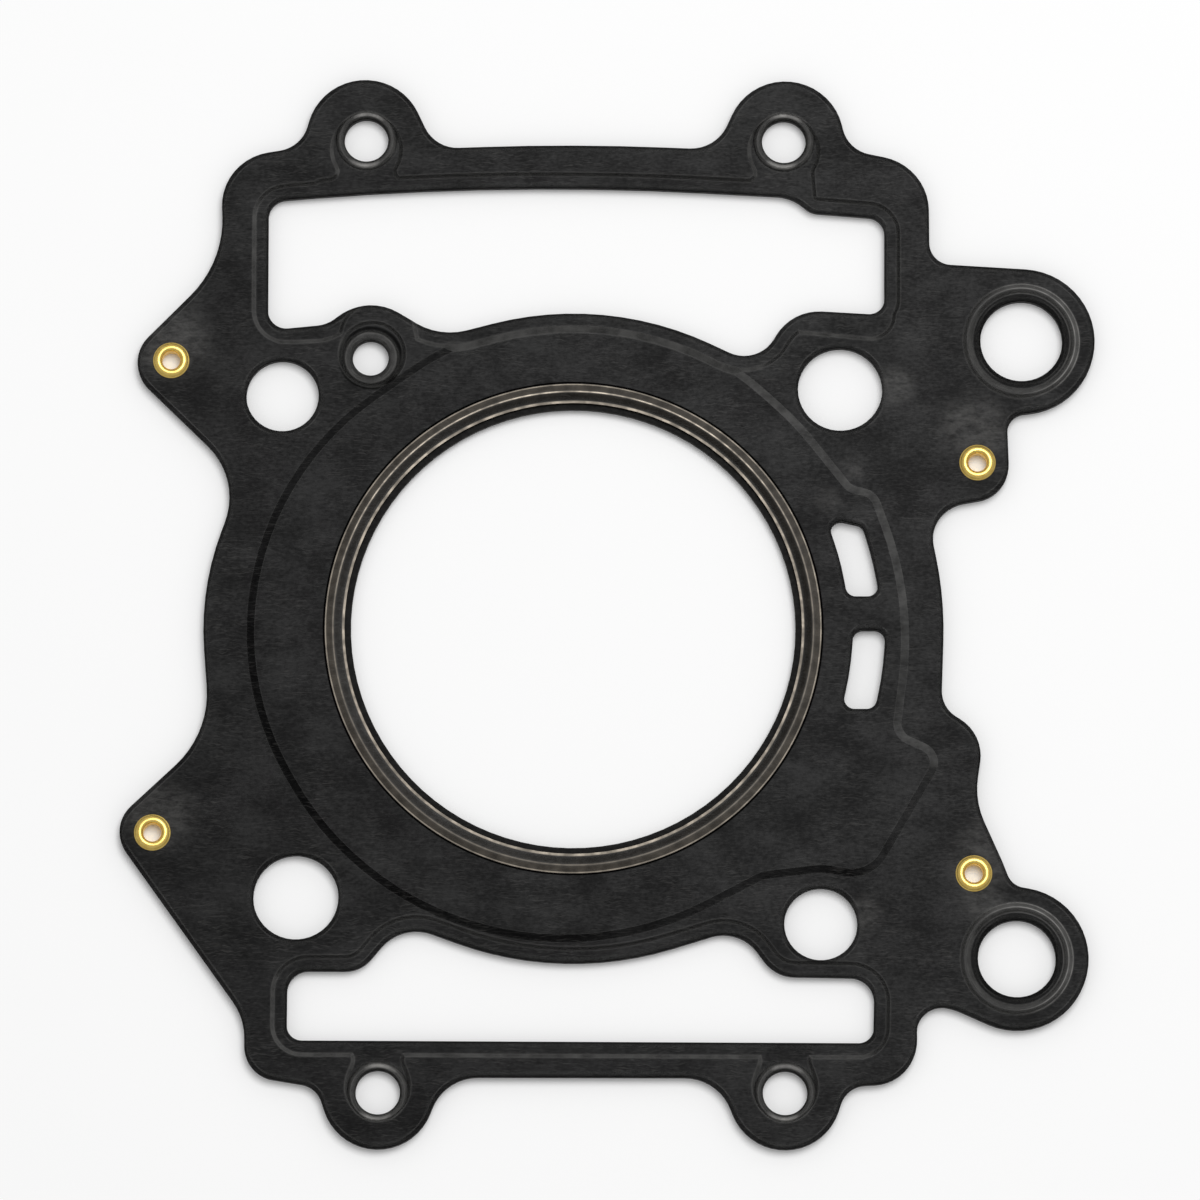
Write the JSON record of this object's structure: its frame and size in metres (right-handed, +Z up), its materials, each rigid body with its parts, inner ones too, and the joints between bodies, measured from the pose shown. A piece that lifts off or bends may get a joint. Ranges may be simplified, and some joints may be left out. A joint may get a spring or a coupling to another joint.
{
  "type": "cylinder head gasket",
  "caption": "Layered sheet metal cylinder head gasket with a large round bore, long windows, bolt ears, raised sealing beads and brass eyelets.",
  "frame": {"origin": "centre of the cylinder bore, halfway through the thickness of the stack", "axes": "+X to the side with the two ringed ports, +Y to the wide upper window, +Z up through the domed side of the eyelets"},
  "size_m": [0.1609, 0.179, 0.0028],
  "materials": {
    "coated_sheet": "satin",
    "carrier_steel": "dull",
    "eyelet_brass": "bright"
  },
  "bodies": {
    "root": {"top_bead_plate": "coated_sheet", "carrier_plate": "carrier_steel", "bottom_bead_plate": "coated_sheet", "eyelet_left_upper": "eyelet_brass", "eyelet_right_upper": "eyelet_brass", "eyelet_left_lower": "eyelet_brass", "eyelet_right_lower": "eyelet_brass"}
  },
  "joints": []
}
